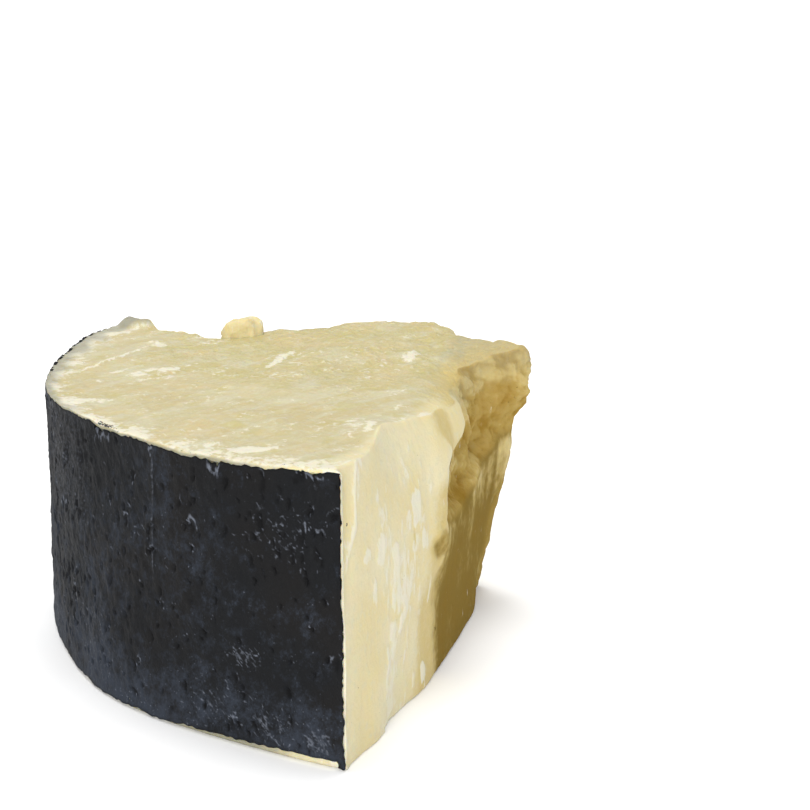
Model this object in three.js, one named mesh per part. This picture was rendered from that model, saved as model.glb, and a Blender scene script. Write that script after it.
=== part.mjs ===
// A block of pecorino romano: about a quarter of one flat slab sawn from a wheel. Its front is the
// wheel's curved, coated rind. Its right side is a knife cut that breaks up towards the tip, near the
// middle of the wheel. Its left side is split by hand, and its top and bottom are sawn.
// Millimetres, +Z up, the rind towards -Y. The origin is under the middle of the block.

import * as THREE from "three";

// Driving dimensions. Plan positions are measured from the wheel's own axis.
const WHEEL_RADIUS = 150;
const SLAB_HEIGHT = 80.9; // at the wheel's axis
const TOP_RISE_X = -0.0093; // the saw cut of the top isn't quite level: its rise for each mm along X
const TOP_RISE_Y = 0.0327; // and for each mm along Y
const TIP = new THREE.Vector2(-12.9, 4.1); // where the knife cut and the split side meet

// The rind's two ends, in degrees round the axis from the front, positive to the right.
const RIND_LEFT = -47.4;
const RIND_RIGHT = 44.8;
const FOOT_SPREAD = 2.2; // the wheel is this much wider in radius at the slab's foot
const FOOT_SHIFT = new THREE.Vector2(1.5, 2.9); // and its wall leans by this much from top to foot
const WALL_WAVE = 1.1; // depth of the shallow waves that the mould left in the wall
const WALL_WAVE_PITCH = 38; // degrees from one wave to the next
const HEART = new THREE.Vector2(0, -80); // the middle of the block, which worn edges draw back to
const EDGE_WEAR = 3; // how far broken edges have crumbled back at the top
const EDGE_DEPTH = 6; // and how far down that reaches
const SLOPE_WEAR = 3.5; // the same where the top slopes down to the knife cut
const SLOPE_DEPTH = 14;

// What stands on the saw's plane. Each feature has its place, its reach and its rise.
const TORN_TOP = { x: -62, y: -12, core: 38, reach: 78, rise: 1.4 }; // the torn part of the top
const TOP_FLAKES = 1.3; // how much its flakes rise and fall
const SPUR = { x: -105, y: -98.5, core: 4, reach: 9, rise: 2.4 }; // at the rind's left end
const PEAK = { x: -49, y: -19, core: 0, reach: 17, rise: 1.3 }; // by the tip
const HOLLOW = { x: -33, y: -4, core: 0, reach: 11, rise: -1.8 };
const BURR = { x: 70, y: -80, core: 0, reach: 16, rise: 1.6 }; // along the knife cut
const TIP_KNOB = { x: -21, y: 0, core: 0, reach: 9, rise: 1.8 };
const BACK_KNOB = { x: -86, y: -88, core: 0, reach: 6, rise: 1.1 };
const MOUNDS = [SPUR, PEAK, HOLLOW, BURR, TIP_KNOB, BACK_KNOB];
const CRUMB = new THREE.Vector2(-70, -73); // a blocky crumb left on the back edge
const CRUMB_TURN = 64; // degrees from X to its length
const CRUMB_LENGTH = 13;
const CRUMB_WIDTH = 10;
const CRUMB_RISE = 5.3;

// The slope at the top's right edge: how far inside the edge it begins, and how deep it is beside the
// clean cut and beside the broken part.
const SLOPE_REACH = 15;
const SLOPE_CLEAN = 2.5;
const SLOPE_BROKEN = 1.7;

// The right side, from the rind towards the tip: depths and rises of its features.
const BEVEL_DEPTH = 1.5; // the corner beside the rind's upper half
const BITE_DEPTH = 5.5; // where the knife ran in below the top
const CUT_TURN = 7.2; // degrees by which the cut turns inwards past its bend
const LIP_RISE = 1.8; // the edge of the clean cut, where the broken part begins
const SCOOP_DEPTH = 4; // the broken part itself
const SCOOP_SHELVING = 3; // and how much shallower it is at the top
const SCOOP_FLOOR = 42; // height of its lower end
const SCOOP_FLOOR_RISE = 0.0055; // how that rises towards the tip, by the square of the distance
const FACET_RISE = 2.8; // a facet between the clean cut and the scoop, above the lip
const TIP_BULGE = 4.8; // the tip leans out from half way up
const TIP_HEAD = 6.2; // and again just below the top
const TIP_UNDERCUT = 3.4; // but draws in at its foot
const FOOT_HOLLOW = 1.6; // the cut's own foot

// The split side: a hollow by the rind, a bulge towards the tip, an undercut and a ripple.
const SPLIT_HOLLOW = 12.5;
const SPLIT_BULGE = 18;
const SPLIT_UNDERCUT = 5;
const SPLIT_RIPPLE = 3;

// Crags of the torn faces: how far they stand out and about how wide they are, large and small.
const LARGE_CRAG = 2.4;
const LARGE_CRAG_WIDTH = 19;
const SMALL_CRAG = 1.5;
const SMALL_CRAG_WIDTH = 8;

// How finely the surface is cut into facets.
const SIDE_COLUMNS = 32; // on each of the outline's four sides
const WALL_ROWS = 20;

const mix = THREE.MathUtils.lerp;
const radians = THREE.MathUtils.degToRad;

// A smooth step from 0 at a to 1 at b. It also falls with growing x, where a is above b.
function step(a, b, x) {
  const t = THREE.MathUtils.clamp((x - a) / (b - a), 0, 1);
  return t * t * (3 - 2 * t);
}

// A smooth hump, 1 at its middle and 0 from one reach away.
function hump(middle, reach, x) {
  return step(reach, 0, Math.abs(x - middle));
}

// A repeatable number from 0 to 1 for each point of a cubic lattice.
function lattice(i, j, k, seed) {
  let h = Math.imul(i, 668265261) ^ Math.imul(j, 374761393) ^ Math.imul(k, 1274126177) ^ seed;
  h = Math.imul(h ^ (h >>> 15), 739982445);
  h = Math.imul(h ^ (h >>> 12), 695872825);
  return ((h ^ (h >>> 15)) >>> 0) / 4294967296;
}

// Smooth random hills between -1 and 1, about one for each unit of distance.
function hills(x, y, z, seed) {
  const [i, j, k] = [Math.floor(x), Math.floor(y), Math.floor(z)];
  const [u, v, w] = [step(0, 1, x - i), step(0, 1, y - j), step(0, 1, z - k)];
  const along = (b, c) => mix(lattice(i, j + b, k + c, seed), lattice(i + 1, j + b, k + c, seed), u);
  return 2 * mix(mix(along(0, 0), along(1, 0), v), mix(along(0, 1), along(1, 1), v), w) - 1;
}

// A round rise on the top, full within its core and gone at its reach.
function mound(x, y, feature) {
  return feature.rise * step(feature.reach, feature.core, Math.hypot(x - feature.x, y - feature.y));
}

// The crumb on the back edge, an oval rise with steep sides.
function crumbHeight(x, y) {
  const at = new THREE.Vector2(x, y).sub(CRUMB).rotateAround(new THREE.Vector2(), -radians(CRUMB_TURN));
  return CRUMB_RISE * step(1.2, 0.7, Math.hypot((2 * at.x) / CRUMB_LENGTH, (2 * at.y) / CRUMB_WIDTH));
}

// How far the top slopes down to the knife cut: a parabola, deepest beside the broken part.
// Here s runs along the cut from the rind, and inside is measured from it.
function shoulder(x, y) {
  const start = rindPoint(RIND_RIGHT, SLAB_HEIGHT);
  const line = TIP.clone().sub(start).normalize();
  const at = new THREE.Vector2(x, y).sub(start);
  const s = at.dot(line);
  const inside = line.cross(at);
  const edge = 0.12 * Math.max(s - 64, 0) + 5 * step(104, 122, s);
  const share = THREE.MathUtils.clamp(1 - (inside - edge) / SLOPE_REACH, 0, 1.08) ** 2;
  const deep = SLOPE_CLEAN * step(18, 66, s) + SLOPE_BROKEN * step(62, 92, s);
  return share * deep * step(154, 122, s);
}

// Height of the top: the saw's tilted plane, smooth by the rind and torn up at the back.
function topHeight(x, y) {
  const plane = SLAB_HEIGHT + TOP_RISE_X * x + TOP_RISE_Y * y;
  const flakes = TOP_FLAKES * hills((y - x / 2) / 46, (x + y / 2) / 13, 0.5, 11);
  const torn = mound(x, y, TORN_TOP) * (1 + flakes / TORN_TOP.rise);
  const mounds = MOUNDS.reduce((sum, feature) => sum + mound(x, y, feature), 0);
  return plane + torn + mounds + crumbHeight(x, y) - shoulder(x, y);
}

// Height of the broken part's lower end, at distance s along the cut: level, then rising to the tip.
function scoopFloor(s) {
  const past = THREE.MathUtils.clamp(s - 104, 0, 46);
  return SCOOP_FLOOR + SCOOP_FLOOR_RISE * past * past;
}

// Where the broken part begins along the cut, further from the rind near the top.
function scoopEdge(z) {
  return 76 + 23 * step(56, 70, z);
}

// How far the right side stands out from a straight cut between the rind's end and the tip. Here s
// runs along the cut from the rind and z is the height.
function cutRelief(s, z) {
  const bevel = -BEVEL_DEPTH * step(10, 1, s) * step(34, 52, z);
  const bite = -BITE_DEPTH * hump(45, 30, s) * step(52, 84, z);
  const softness = mix(14, 2, step(22, 38, z));
  const bend = mix(66, 77, step(22, 40, z));
  const turned = softness * Math.log1p(Math.exp((s - bend) / softness));
  const turn = -Math.tan(radians(CUT_TURN)) * turned;
  const lip = LIP_RISE * hump(76, 13, s) * step(28, 40, z) * step(82, 64, z);
  const facet = FACET_RISE * hump(97, 18, s) * step(59, 70, z);
  const [floor, edge] = [scoopFloor(s), scoopEdge(z)];
  const along = step(edge, edge + 9, s) * step(152, 138, s);
  const deep = SCOOP_DEPTH - SCOOP_SHELVING * step(64, 80, z);
  const scoop = -deep * along * step(floor, floor + 7, z);
  const lean = TIP_BULGE * step(22, 50, z) + TIP_HEAD * step(60, 68, z) - TIP_UNDERCUT * step(22, 8, z);
  const foot = -FOOT_HOLLOW * hump(40, 26, s) * step(30, 4, z);
  return bevel + bite + turn + lip + facet + scoop + step(136, 160, s) * lean + foot;
}

// How torn the right side is there, from 0 for a clean cut to 1 for a broken face.
function cutTorn(s, z) {
  const [floor, edge] = [scoopFloor(s), scoopEdge(z)];
  const broken = step(edge - 1, edge + 7, s) * step(floor - 2, floor + 4, z);
  const knobs = 0.5 * hump(75, 9, s) * hump(45, 18, z);
  return 0.08 + 0.92 * Math.max(broken, knobs, 0.4 * step(146, 158, s));
}

// A point of the coated wall: angle in degrees from the front, z its height.
function rindPoint(angle, z) {
  const foot = 1 - z / SLAB_HEIGHT;
  const wave = Math.cos((2 * Math.PI * (angle + 5.5)) / WALL_WAVE_PITCH) * (1 - 2 * foot);
  const r = WHEEL_RADIUS + FOOT_SPREAD * foot + WALL_WAVE * wave;
  const x = r * Math.sin(radians(angle)) + FOOT_SHIFT.x * foot;
  const y = -r * Math.cos(radians(angle)) + FOOT_SHIFT.y * foot;
  return new THREE.Vector2(x, y);
}

// How far the split side stands out from a straight line between the rind's left end and the tip,
// s along it from the rind: hollow by the rind, full towards the tip, undercut lower down.
function splitRelief(s, z) {
  const plan = SPLIT_BULGE * hump(98, 46, s) - SPLIT_HOLLOW * hump(27, 34, s);
  const inside = step(0, 40, s) * step(144, 104, s);
  const lower = SPLIT_RIPPLE * Math.sin(z / 9 + s / 20) - SPLIT_UNDERCUT * step(66, 20, z);
  return plan + inside * lower;
}

// A point at distance s along the straight line from one corner to another, moved outwards by relief.
function alongFace(start, end, s, relief) {
  const line = end.clone().sub(start);
  const outward = new THREE.Vector2(line.y, -line.x).normalize();
  return start.clone().addScaledVector(line, s / line.length()).addScaledVector(outward, relief);
}

// A point of the knife cut, share 0 at the tip and 1 at the rind.
function cutPoint(share, z) {
  const start = rindPoint(RIND_RIGHT, z);
  const s = (1 - share) * start.distanceTo(TIP);
  const sloped = step(40, 80, s) * step(164, 150, s);
  return { at: alongFace(start, TIP, s, cutRelief(s, z)), torn: cutTorn(s, z), sloped };
}

// A point of the split side, share 0 at the rind and 1 at the tip.
function splitPoint(share, z) {
  const start = rindPoint(RIND_LEFT, z);
  const tip = cutPoint(0, z);
  const s = share * start.distanceTo(tip.at);
  const torn = mix(step(0, 0.08, share), tip.torn, step(0.92, 1, share));
  return { at: alongFace(start, tip.at, s, -splitRelief(s, z)), torn, sloped: 0 };
}

// The block's four sides in turn: the knife cut, two halves of the rind, the split side.
const RIND_MIDDLE = (RIND_LEFT + RIND_RIGHT) / 2;
const SIDES = [
  cutPoint,
  (share, z) => ({ at: rindPoint(mix(RIND_RIGHT, RIND_MIDDLE, share), z), torn: 0, sloped: 0 }),
  (share, z) => ({ at: rindPoint(mix(RIND_MIDDLE, RIND_LEFT, share), z), torn: 0, sloped: 0 }),
  splitPoint,
];

// A point of the outline at height z. Where the face is torn it's moved about in plan by the crags,
// and below the top it is drawn in towards the heart of the block: a quarter round where the edge has
// crumbled, and a parabola where the top slopes down to the cut.
function outlinePoint(side, share, z, top) {
  const { at, torn, sloped } = SIDES[side](share, z);
  const [x, y] = [at.x, at.y];
  const crag = (seed) =>
    LARGE_CRAG * hills(x / LARGE_CRAG_WIDTH, y / LARGE_CRAG_WIDTH, z / 15, seed) +
    SMALL_CRAG * hills(x / SMALL_CRAG_WIDTH, y / SMALL_CRAG_WIDTH, z / 7, seed + 1);
  const near = THREE.MathUtils.clamp(1 - (top - z) / EDGE_DEPTH, 0, 1);
  const crumbled = EDGE_WEAR * torn * (1 - Math.sqrt(1 - near * near));
  const slope = SLOPE_WEAR * THREE.MathUtils.clamp(1 - (top - z) / SLOPE_DEPTH, 0, 1) ** 2;
  const inward = HEART.clone().sub(at).normalize();
  const moved = new THREE.Vector2(x + torn * crag(21), y + torn * crag(31));
  return moved.addScaledVector(inward, mix(crumbled, slope, sloped));
}

// The wall in rows from the foot up. Row lengths follow the top's own height above each column.
function wallRows() {
  const rows = [];
  for (let row = 0; row <= WALL_ROWS; row++) {
    const ring = [];
    for (let side = 0; side < SIDES.length; side++)
      for (let column = 0; column < SIDE_COLUMNS; column++) {
        const share = column / SIDE_COLUMNS;
        const edge = outlinePoint(side, share, SLAB_HEIGHT, SLAB_HEIGHT);
        const top = topHeight(edge.x, edge.y);
        const z = (top * row) / WALL_ROWS;
        const at = outlinePoint(side, share, z, top);
        ring.push(new THREE.Vector3(at.x, at.y, z));
      }
    rows.push(ring);
  }
  return rows;
}

// The top, woven between the four sides of its edge: each inside point blends the edge's points.
function topPoint(edge, a, b) {
  const n = SIDE_COLUMNS;
  const [cut, right, left, split] = [edge[a], edge[n + b], edge[3 * n - a], edge[(4 * n - b) % (4 * n)]];
  const [u, v] = [a / n, b / n];
  const at = new THREE.Vector3()
    .addScaledVector(cut, 1 - v)
    .addScaledVector(left, v)
    .addScaledVector(split, 1 - u)
    .addScaledVector(right, u)
    .addScaledVector(edge[0], -(1 - u) * (1 - v))
    .addScaledVector(edge[n], -u * (1 - v))
    .addScaledVector(edge[2 * n], -u * v)
    .addScaledVector(edge[3 * n], -(1 - u) * v);
  return at.setZ(topHeight(at.x, at.y));
}

function buildCheese() {
  const n = SIDE_COLUMNS;
  const around = 4 * n;
  const rows = wallRows();
  const points = rows.flat();
  const faces = [];
  for (let row = 0; row < WALL_ROWS; row++)
    for (let column = 0; column < around; column++) {
      const next = (column + 1) % around;
      const [a, b] = [row * around + column, row * around + next];
      faces.push([b, a, b + around], [a, a + around, b + around]);
    }

  // The top's own points, with the wall's last ring round them.
  const edge = rows[WALL_ROWS];
  const rim = WALL_ROWS * around;
  const topIndex = [];
  for (let a = 0; a <= n; a++) {
    topIndex.push([]);
    for (let b = 0; b <= n; b++) {
      if (b === 0) topIndex[a].push(rim + a);
      else if (a === n) topIndex[a].push(rim + n + b);
      else if (b === n) topIndex[a].push(rim + 3 * n - a);
      else if (a === 0) topIndex[a].push(rim + 4 * n - b);
      else topIndex[a].push(points.push(topPoint(edge, a, b)) - 1);
    }
  }
  for (let a = 0; a < n; a++)
    for (let b = 0; b < n; b++) {
      const [p, q] = [topIndex[a][b], topIndex[a + 1][b]];
      const [r, s] = [topIndex[a + 1][b + 1], topIndex[a][b + 1]];
      faces.push([p, s, r], [p, r, q]);
    }

  // The flat foot.
  const foot = rows[0].map((point) => new THREE.Vector2(point.x, point.y));
  for (const [a, b, c] of THREE.ShapeUtils.triangulateShape(foot, [])) faces.push([c, b, a]);

  const geometry = new THREE.BufferGeometry().setFromPoints(points);
  geometry.setIndex(faces.flat());
  geometry.computeBoundingBox();
  const middle = geometry.boundingBox.getCenter(new THREE.Vector3());
  geometry.translate(-middle.x, -middle.y, 0);
  geometry.computeVertexNormals();
  return geometry;
}

const paste = new THREE.MeshStandardMaterial({ color: "#dccfa2", roughness: 0.6, metalness: 0 });
const cheese = new THREE.Mesh(buildCheese(), paste);
cheese.name = "cheese";

const block = new THREE.Group();
block.name = "pecorino_block";
block.add(cheese);

export default block;
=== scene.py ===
"""A quarter block of pecorino romano: pale pressed paste with a sawn top, a knife-cut side that breaks
up towards the tip and a split side, the thin dark coating on its rind, and a loose crumb of paste.

Shapes are worked out in millimetres round the wheel's own axis, the rind towards -Y, and put into
the meshes in metres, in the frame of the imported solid.
"""

import bpy
import numpy as np
from mathutils import Matrix, Vector


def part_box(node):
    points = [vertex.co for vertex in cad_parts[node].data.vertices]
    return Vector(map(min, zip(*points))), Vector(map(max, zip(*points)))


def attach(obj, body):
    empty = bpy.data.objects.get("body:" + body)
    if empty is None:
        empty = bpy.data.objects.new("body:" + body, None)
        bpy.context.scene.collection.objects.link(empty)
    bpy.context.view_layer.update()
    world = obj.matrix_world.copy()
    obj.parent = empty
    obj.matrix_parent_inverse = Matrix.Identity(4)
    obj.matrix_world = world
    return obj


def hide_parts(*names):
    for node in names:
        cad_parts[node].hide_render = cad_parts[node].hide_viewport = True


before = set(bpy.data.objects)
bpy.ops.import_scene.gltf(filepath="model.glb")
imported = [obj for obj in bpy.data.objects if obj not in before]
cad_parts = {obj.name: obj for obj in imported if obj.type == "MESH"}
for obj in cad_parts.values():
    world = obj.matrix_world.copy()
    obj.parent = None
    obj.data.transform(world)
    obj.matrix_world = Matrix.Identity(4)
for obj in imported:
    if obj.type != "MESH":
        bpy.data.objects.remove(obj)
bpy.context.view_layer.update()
cheese_low, cheese_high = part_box("cheese")

MM = 0.001

# The wheel and the slab, as in the solid. Plan positions are measured from the wheel's own axis.
WHEEL_RADIUS = 150.0
SLAB_HEIGHT = 80.9  # at the wheel's axis
TOP_RISE_X = -0.0093  # how far the top's plane rises for each mm along X
TOP_RISE_Y = 0.0327  # and for each mm along Y
TIP = (-12.9, 4.1)  # where the knife cut and the split side meet
RIND_LEFT = -47.4  # the rind's two ends, in degrees round the axis from the front
RIND_RIGHT = 44.8
RIND_MIDDLE = (RIND_LEFT + RIND_RIGHT) / 2
FOOT_SPREAD = 2.2  # the wheel is this much wider in radius at the slab's foot
FOOT_SHIFT = (1.5, 2.9)  # and its wall leans by this much from top to foot
WALL_WAVE = 1.1  # depth of the shallow waves in the wall
WALL_WAVE_PITCH = 38.0  # degrees from one wave to the next
WALL_WAVE_TURN = 5.5  # and from a crest to the front
HEART = (0.0, -80.0)  # the middle of the block, which worn edges draw back to
EDGE_WEAR = 3.0  # how far a broken edge is worn back at the top
CLEAN_WEAR = 1.6  # and a clean one
EDGE_DEPTH = 6.0  # how far down that reaches
SLOPE_WEAR = 3.5  # the same where the top slopes down to the cut
SLOPE_DEPTH = 14.0
FOOT_WEAR = 1.1  # how far the foot's edge is worn back
FOOT_DEPTH = 2.0  # and how far up that reaches

# What stands on the top's plane: its place, core, reach and rise.
TORN_TOP = (-62, -12, 38, 78, 1.4)  # the torn part
TORN_FLAKES = 1.3  # how much that part's flakes rise and fall
SPUR = (-104, -96.5, 5.5, 9.5, 2.4)  # at the rind's left end
MOUNDS = (
    SPUR,
    (-49, -19, 0, 17, 1.3),  # a peak by the tip
    (-33, -4, 0, 11, -1.8),  # a hollow beside it
    (70, -80, 0, 16, 1.6),  # a burr along the knife cut
    (-21, 0, 0, 9, 1.8),  # a knob at the tip
    (-86, -88, 0, 6, 1.1),  # and one on the back edge
)

# The slope at the top's right edge: how far inside it begins, how deep it is beside the clean cut, and
# how much deeper beside the broken part.
SLOPE_REACH = 15.0
SLOPE_CLEAN = 2.5
SLOPE_BROKEN = 1.7

# The right side, from the rind towards the tip: depths and rises of its features.
BEVEL_DEPTH = 1.5  # the corner beside the rind's upper half
BITE_DEPTH = 5.5  # where the knife ran in below the top
CUT_TURN = 7.2  # degrees by which the cut turns inwards past its bend
LIP_RISE = 1.8  # the edge of the clean cut, where the broken part begins
FACET_RISE = 2.8  # a facet between the clean cut and the scoop, above the lip
SCOOP_DEPTH = 4.0  # the broken part itself
SCOOP_SHELVING = 3.0  # and how much shallower it is at the top
SCOOP_FLOOR = 42.0  # height of its lower end
SCOOP_FLOOR_RISE = 0.0055  # how that rises towards the tip, by the square of the distance
TIP_BULGE = 4.8  # the tip leans out from half way up
TIP_HEAD = 6.2  # and again just below the top
TIP_UNDERCUT = 3.4  # but draws in at its foot
FOOT_HOLLOW = 1.6  # the cut's own foot

# The split side: a hollow by the rind, a bulge towards the tip, an undercut and a ripple.
SPLIT_HOLLOW = 12.5
SPLIT_BULGE = 18.0
SPLIT_UNDERCUT = 5.0
SPLIT_RIPPLE = 3.0

# Crags of the torn faces: how far they stand out and about how wide they are, large and small.
LARGE_CRAG = 2.4
LARGE_CRAG_WIDTH = 19.0
SMALL_CRAG = 1.5
SMALL_CRAG_WIDTH = 8.0

# Finer than the solid: the coating and the crumb.
COAT = 0.9  # how thick the coating is on the paste
COAT_THINNEST = 0.18
CRUMB_AT = (-70.0, -73.0)
CRUMB_HALF = (6.5, 5.0, 5.8)  # half its length, width and height
CRUMB_TURN = 64.0  # degrees from X to its length
CRUMB_SQUARENESS = 0.62  # 1 is a ball, and less is more like a block

# Columns along the knife cut (and the rind's left half), along the split side (and the rind's right
# half), and rows up the wall. Behind the coating the paste keeps its end rows and every 13th between.
CUT_COLUMNS = 208
SPLIT_COLUMNS = 160
WALL_ROWS = 128
HIDDEN_STEP = 13
COAT_COLUMNS = 470
COAT_ROWS = 156

# What the paste's points carry for its material, from 0 to 1 or more: dry white, torn, golden colour that is
# mostly painted shade, freshly cut, near the coated rim, and greyed, by the coating's smudge in places and
# as painted shade in others.
PASTE_LOOKS = ("white", "torn", "gold_and_shade", "fresh", "rim", "smudge_and_shade")

# What the coating's points carry: dusty, painted shade in a pit, bloomed grey and a painted sheen, and at
# the coating's own edge.
COAT_LOOKS = ("dust", "pit_shade", "bloom_and_sheen", "edge")

# Lines on the top: a point on each and the direction across it. The ledge is where the clean sawn
# part ends, the fold a crease by the rind. The flakes of the torn part lie across TOP_GRAIN.
LEDGE = ((3.8, -105), (0.76, 0.65))
FOLD = ((-40.5, -133.4), (0.73, 0.68))
TOP_GRAIN = (0.88, 0.47)

# The larger white flakes that the saw lifted on the top: place, half length, half width, turn.
TOP_FLAKES = (
    (-35, -124, 6, 2, 130),
    (-27, -120, 4, 3, 155),
    (-30, -112, 7, 3, 65),
    (1, -143, 7, 3, 80),
    (74, -119, 9, 3, 78),
    (-12, -38, 9, 2, 145),
    (50.5, -60, 9, 1.2, 137),
    (67, -83, 7, 1.5, 150),
    (-29, -74, 14, 1.5, 140),
    (-68, -102, 6, 3, 166),
)

# Thin flakes that the knife lifted on the cut: distance from the rind, height, half width, half height.
CUT_FLAKES = (
    (16.5, 51, 3.2, 2.8),
    (26.5, 50, 3.4, 5.6),
    (37, 47.5, 3.0, 2.8),
    (22, 42, 1.5, 2.6),
    (54, 55, 4.4, 7.2),
    (60, 45, 2.2, 4.0),
    (62, 6, 2.6, 4.4),
)

# Specks of coating that stuck to the cut: distance from the rind, height.
CUT_SPECKS = ((5.2, 62), (68, 26.5), (76.5, 14))

# Also on the cut, by distance from the rind and height: the knob on its lip, the hollow under the
# knob, and the edge of the proud flake by the foot, with its lean for each mm of height.
KNOB = (73.0, 45.0)
KNOB_HOLLOW = (74.0, 39.0)
PROUD_EDGE = 29.5
PROUD_LEAN = 0.12

# The scoop's deeper dents: distance from the rind, height, reach, how narrow it is along the cut (1 is
# round), and depth as a share of DENT_DEPTH. The dents are also painted darker, as shade.
DENT_DEPTH = 1.2
SCOOP_DENTS = (
    (135, 79, 6, 1.0, 1.0),  # under the apex
    (149, 70, 5, 1.0, 0.5),  # by the tip
    (113, 46, 9, 0.8, 1.6),  # at its lower end
)

# Where the coating is scuffed: how many strokes there are, and the places that they gather in, by
# distance round the rind from its front, height, and spread each way.
SCUFF_STROKES = 900
SCUFFS = (
    (78, 10, 10, 6),
    (95, 8, 9, 5),
    (110, 6, 4, 3),
    (88, 25, 6, 3),
    (100, 60, 10, 8),
    (45, 55, 22, 18),
    (-5, 62, 6, 14),
    (20, 20, 16, 10),
)

# Pits in the coating: how many there are, how many of them are ringed with dust, and the patches that
# half of them gather in.
PITS = 520
RINGED_PITS = 26
PIT_PATCHES = 30

# Chips out of the coating's top edge: distance round the rind, half width, depth.
CHIPS = (
    (-10.5, 2.2, 1.4),
    (26, 0.8, 1.5),
    (29, 3, 1),
    (34.5, 1, 1.8),
    (55, 0.9, 0.8),
    (80, 2.2, 1),
    (82, 0.7, 1.6),
    (110, 2.6, 0.7),
)

# Colours of the paste: where it was sawn and cut by knife; a peach tint and half shade, a shade, a golden
# shade and a deepest shade, all but the tint painted shade; chalk white; and the grey of the coating's
# smudge, also used as painted shade.
PASTE = "#b5ac86"
PASTE_DEEP = "#b2a478"
PASTE_PALE = "#bfbba0"
PASTE_YELLOW = "#afa36d"
PASTE_WARM = "#bbaa7e"
PASTE_CUT = "#ccc3a0"
PASTE_CUT_WARM = "#cabc8d"
PASTE_PEACH_AND_HALF_SHADE = "#bba86f"
PASTE_SHADE = "#6f5b2b"
PASTE_GOLDEN_SHADE = "#9c8449"
PASTE_DEEP_SHADE = "#7d5e18"
PASTE_WHITE = "#cfcab5"
PASTE_SMUDGE_AND_SHADE = "#7e7c6b"

# Colours of the coating: two blacks, its bloom, also used as a painted sheen, the black of painted shade in
# its pits and at its edges, and its dust.
COAT_BROWN = "#131212"
COAT_BLACK = "#101113"
COAT_BLOOM_AND_SHEEN = "#2d323b"
COAT_SHADE_BLACK = "#060607"
COAT_DUST = "#666b75"

# The two whites of the card on the floor.
CARD_DULL = "#fbfbfb"
CARD_WHITE = "#ffffff"

# The camera: its turn from the rind's front, its place from the wheel's axis (right, back, up), its
# pitch and roll in radians, and its focal length over the picture's width.
CAMERA_TURN = 67.1
CAMERA_PLACE = (-41.0, -640.3, 198.6)
CAMERA_PITCH = 0.20585
CAMERA_ROLL = 0.01567
CAMERA_FOCUS = 2105 / 810

# The light from all round, and two lamps: name, azimuth, elevation, strength and spread.
ROOM_LIGHT = 0.72
LAMPS = (("front_key", -6, 18, 0.80, 30), ("overhead", -155, 76, 0.46, 34))


def mix(a, b, t):
    """The value t of the way from a to b."""
    return a + (b - a) * t


def step(a, b, x):
    """A smooth step from 0 at a to 1 at b, 3t^2 - 2t^3 of the share t covered."""
    t = np.clip((x - a) / (b - a), 0.0, 1.0)
    return t * t * (3 - 2 * t)


def hump(middle, reach, x):
    """A smooth hump, 1 at the middle and 0 from one reach away."""
    return step(reach, 0.0, np.abs(x - middle))


def lattice(i, j, k, seed):
    """A repeatable number from 0 to 1 for each point of a cubic lattice, by an integer hash."""
    i, j, k = (np.asarray(n).astype(np.int64).astype(np.uint32) for n in (i, j, k))
    h = i * np.uint32(668265261) ^ j * np.uint32(374761393) ^ k * np.uint32(1274126177) ^ np.uint32(seed)
    h = (h ^ (h >> np.uint32(15))) * np.uint32(739982445)
    h = (h ^ (h >> np.uint32(12))) * np.uint32(695872825)
    return (h ^ (h >> np.uint32(15))) / 4294967296.0


def hills(x, y, z, seed):
    """Smooth random hills from -1 to 1: lattice numbers blended by the smooth step along each axis."""
    x, y, z = np.broadcast_arrays(np.atleast_1d(x), np.atleast_1d(y), np.atleast_1d(z))
    i, j, k = np.floor(x), np.floor(y), np.floor(z)
    u, v, w = step(0, 1, x - i), step(0, 1, y - j), step(0, 1, z - k)

    def along(b, c):
        return mix(lattice(i, j + b, k + c, seed), lattice(i + 1, j + b, k + c, seed), u)

    return 2 * mix(mix(along(0, 0), along(1, 0), v), mix(along(0, 1), along(1, 1), v), w) - 1


def lumps(x, y, z, seed):
    """Rounded lumps from 0 to 1, one a unit cube: 1 less the squared distance to the nearest of the
    scattered centres, so lumps meet in sharp creases."""
    x, y, z = np.broadcast_arrays(np.atleast_1d(x), np.atleast_1d(y), np.atleast_1d(z))
    i, j, k = np.floor(x), np.floor(y), np.floor(z)
    nearest = np.full(x.shape, 9.0)
    for a in (-1, 0, 1):
        for b in (-1, 0, 1):
            for c in (-1, 0, 1):
                dx = i + a + lattice(i + a, j + b, k + c, seed) - x
                dy = j + b + lattice(i + a, j + b, k + c, seed + 1) - y
                dz = k + c + lattice(i + a, j + b, k + c, seed + 2) - z
                nearest = np.minimum(nearest, dx * dx + dy * dy + dz * dz)
    return 1 - np.clip(nearest, 0, 1)


def spot(x, y, cx, cy, long, wide, degrees):
    """An oval spot, 1 at its middle and 0 past its rim: long by wide, its length turned by degrees."""
    c, s = np.cos(np.radians(degrees)), np.sin(np.radians(degrees))
    u = ((x - cx) * c + (y - cy) * s) / long
    v = ((y - cy) * c - (x - cx) * s) / wide
    return step(1.0, 0.0, np.hypot(u, v))


def rounding(t):
    """How far a rounded edge has drawn back, 1 at t 0 and none from t 1: a quarter circle."""
    near = np.clip(1 - t, 0, 1)
    return 1 - np.sqrt(1 - near * near)


def turned(x, y, start, way):
    """A point's place from start: how far along the unit vector way, and how far to its left."""
    dx, dy = x - start[0], y - start[1]
    return dx * way[0] + dy * way[1], dy * way[0] - dx * way[1]


# The form, as in the solid.


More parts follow.
